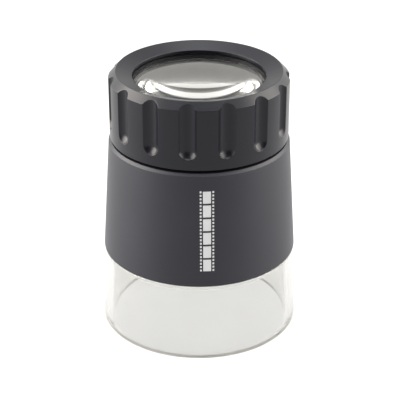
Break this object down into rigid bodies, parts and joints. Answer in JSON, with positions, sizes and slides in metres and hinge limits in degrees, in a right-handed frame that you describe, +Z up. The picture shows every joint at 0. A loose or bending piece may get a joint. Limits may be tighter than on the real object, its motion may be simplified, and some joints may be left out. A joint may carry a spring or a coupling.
{
  "type": "viewing loupe",
  "caption": "Free-standing focusing loupe for film and prints: black tapered housing, scalloped focusing ring, domed eye lens and a clear light skirt.",
  "frame": {"origin": "centre of the clear skirt's underside, where the loupe stands on the film", "axes": "+Z up along the optical axis, -Y towards the front of the loupe"},
  "size_m": [0.05, 0.05, 0.0669],
  "materials": {
    "skirt_acrylic": "clear moulded acrylic",
    "spring_wire": "bright drawn",
    "housing_abs": "satin black",
    "baffle_black": "dead matt black",
    "sleeve_acetal": "black acetal, turned",
    "screw_steel": "black oxide",
    "barrel_alloy": "black anodised",
    "pin_brass": "turned",
    "felt": "pressed felt",
    "optical_glass": "polished",
    "gasket_rubber": "matt",
    "washer_ptfe": "white, smooth",
    "nut_brass": "turned",
    "ring_abs": "satin black"
  },
  "bodies": {
    "housing_body": {"clear_skirt": "skirt_acrylic", "skirt_snap_ring": "spring_wire", "housing": "housing_abs", "light_baffle": "baffle_black", "guide_sleeve": "sleeve_acetal", "sleeve_screws": "screw_steel"},
    "lens_cell": {"eye_cell": "barrel_alloy", "eye_lens": "optical_glass", "eye_lens_gasket": "gasket_rubber", "lens_barrel": "barrel_alloy", "field_lens": "optical_glass", "field_lens_retainer": "barrel_alloy", "guide_pins": "pin_brass", "damping_felt": "felt"},
    "focus_ring_body": {"focus_ring": "ring_abs", "focus_nut": "nut_brass", "lower_washer": "washer_ptfe", "upper_washer": "washer_ptfe"}
  },
  "joints": [
    {"name": "focus_lift", "type": "slide", "parent": "housing_body", "child": "lens_cell", "axis": [0, 0, 1], "range_m": [0, 0.005]},
    {"name": "focus_turn", "type": "hinge", "parent": "lens_cell", "child": "focus_ring_body", "pos_m": [0, 0, 0.0584], "axis": [0, 0, 1], "range_deg": [0, 300]}
  ],
  "couplings": [
    {"joint": "focus_lift", "follows": "focus_turn", "m_per_rad": 0.00095492}
  ]
}
